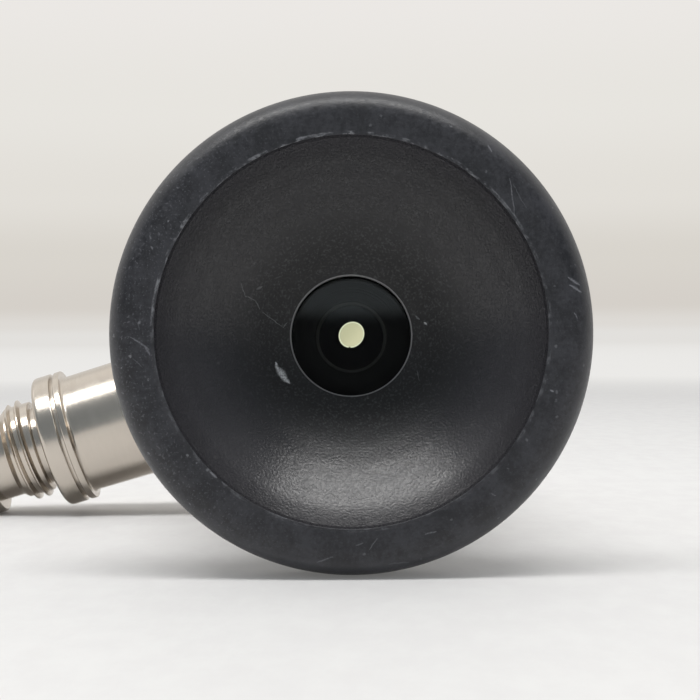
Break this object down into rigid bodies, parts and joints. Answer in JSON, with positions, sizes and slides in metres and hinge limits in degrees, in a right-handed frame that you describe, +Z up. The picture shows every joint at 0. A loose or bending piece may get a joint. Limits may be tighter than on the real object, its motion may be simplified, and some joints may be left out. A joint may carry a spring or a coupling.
{
  "type": "rigid endoscope",
  "caption": "Slim rigid telescope with a black eyecup, steel body, side light post and a long straight shaft with a slanted tip.",
  "frame": {"origin": "middle of the underside as it lies on a table", "axes": "+Y runs level from the eyecup towards the tip, +Z is up, -X is the side of the light post"},
  "size_m": [0.0552, 0.3654, 0.0319],
  "materials": {
    "cup_black": "satin, lightly worn",
    "seal_black": "matt",
    "inner_black": "matt black finish against stray light",
    "body_steel": "satin, turned",
    "post_steel": "bright turned",
    "shaft_steel": "fine satin along the shaft",
    "tube_steel": "drawn",
    "brass_insert": "turned",
    "optical_glass": "polished and coated",
    "fibre_glass": "ground and polished ends"
  },
  "bodies": {
    "root": {"eyecup": "cup_black", "eyecup_gasket": "seal_black", "ocular_body": "body_steel", "window_cell": "tube_steel", "ocular_window": "optical_glass", "ocular_cell": "inner_black", "ocular_crown_lens": "optical_glass", "ocular_flint_lens": "optical_glass", "ocular_spacer": "inner_black", "field_stop": "inner_black", "field_stop_ring": "inner_black", "tube_bush": "brass_insert", "main_housing": "body_steel", "post_barrel": "post_steel", "post_connector": "post_steel", "post_ring": "post_steel", "light_ferrule": "tube_steel", "light_window": "optical_glass", "light_fibres": "fibre_glass", "sheath_lock": "body_steel", "index_pin": "post_steel", "outer_tube": "shaft_steel", "inner_tube": "tube_steel", "tip_window": "optical_glass", "tip_prism": "optical_glass", "objective_front_lens": "optical_glass", "objective_spacer": "tube_steel", "objective_rear_lens": "optical_glass", "relay_end_spacer": "tube_steel", "rod_lens_1": "optical_glass", "rod_lens_2": "optical_glass", "rod_lens_3": "optical_glass", "rod_lens_4": "optical_glass", "rod_lens_5": "optical_glass", "rod_lens_6": "optical_glass", "rod_lens_7": "optical_glass", "rod_spacer_1": "tube_steel", "rod_spacer_2": "tube_steel", "rod_spacer_3": "tube_steel", "rod_spacer_4": "tube_steel", "rod_spacer_5": "tube_steel", "rod_spacer_6": "tube_steel"}
  },
  "joints": []
}
